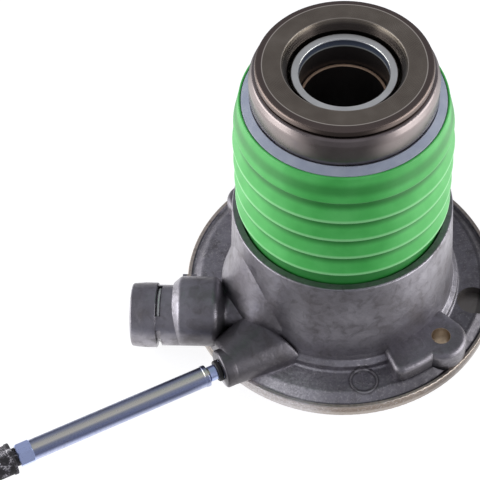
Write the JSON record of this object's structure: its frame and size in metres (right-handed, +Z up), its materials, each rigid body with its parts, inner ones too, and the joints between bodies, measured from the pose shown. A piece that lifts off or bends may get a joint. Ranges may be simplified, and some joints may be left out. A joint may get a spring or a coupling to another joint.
{
  "type": "concentric clutch slave cylinder",
  "caption": "Hydraulic clutch release cylinder: flanged cast housing, ribbed gaiter over a ring piston, thrust bearing on top, plug-in inlet and long bleed screw.",
  "frame": {"origin": "on the cylinder's axis, in the plane of the flange's mounting face", "axes": "+Z up the axis from the gearbox towards the clutch, -X along the inlet port"},
  "size_m": [0.1917, 0.1599, 0.1272],
  "materials": {
    "cast_housing": "die cast",
    "guide_tube_steel": "ground",
    "black_rubber": "moulded",
    "spring_wire": "drawn wire",
    "zinc_steel": "zinc plated",
    "cap_rubber": "matt moulded",
    "machined_aluminium": "turned",
    "bright_sleeve": "bright turned",
    "support_polymer": "moulded",
    "bearing_steel": "black oxide, ground",
    "ball_steel": "polished",
    "cage_polymer": "moulded",
    "shell_steel": "black oxide, drawn",
    "coil_steel": "oil blacked",
    "green_rubber": "moulded"
  },
  "bodies": {
    "housing": {"housing": "cast_housing", "guide_tube": "guide_tube_steel", "guide_tube_o_ring": "black_rubber", "flange_o_ring": "black_rubber", "inlet_seal": "black_rubber", "stop_ring": "spring_wire", "preload_spring": "coil_steel", "gaiter": "green_rubber"},
    "piston": {"piston": "machined_aluminium", "piston_seal": "black_rubber", "bearing_sleeve": "bright_sleeve", "support_ring": "support_polymer", "fixed_race": "bearing_steel", "bearing_shell": "shell_steel", "bearing_seal": "black_rubber", "spring_washer": "spring_wire"},
    "turning_race": {"turning_race": "bearing_steel"},
    "ball_cage": {"ball_cage": "cage_polymer", "bearing_balls": "ball_steel"},
    "bleed_seal": {"bleed_seal_ring": "black_rubber"},
    "bleed_screw": {"bleed_screw": "zinc_steel"},
    "dust_cap": {"dust_cap": "cap_rubber"},
    "inlet_clip": {"inlet_clip": "spring_wire"}
  },
  "joints": [
    {"name": "piston_slide", "type": "slide", "parent": "housing", "child": "piston", "axis": [0, 0, 1], "range_m": [-0.016, 0], "stiffness_N_per_m": 1500, "springref_m": 0.03, "deforming": ["preload_spring", "gaiter"]},
    {"name": "race_spin", "type": "hinge", "parent": "piston", "child": "turning_race", "pos_m": [0, 0, 0.1182], "axis": [0, 0, 1], "continuous": true},
    {"name": "cage_spin", "type": "hinge", "parent": "piston", "child": "ball_cage", "pos_m": [0, 0, 0.1182], "axis": [0, 0, 1], "continuous": true},
    {"name": "bleed_advance", "type": "slide", "parent": "housing", "child": "bleed_seal", "axis": [-0.8758, -0.4827, 0], "range_m": [0, 0.00125]},
    {"name": "bleed_turn", "type": "hinge", "parent": "bleed_seal", "child": "bleed_screw", "pos_m": [-0.04455, -0.04864, 0.012], "axis": [-0.8758, -0.4827, 0], "range_deg": [0, 360]},
    {"name": "cap_pull", "type": "slide", "parent": "bleed_screw", "child": "dust_cap", "axis": [-0.8758, -0.4827, 0], "range_m": [0, 0.012]},
    {"name": "clip_lift", "type": "slide", "parent": "housing", "child": "inlet_clip", "axis": [0, 0, 1], "range_m": [0, 0.008]}
  ],
  "couplings": [
    {"joint": "cage_spin", "follows": "race_spin", "ratio": 0.5},
    {"joint": "bleed_turn", "follows": "bleed_advance", "rad_per_m": 5026.5}
  ]
}
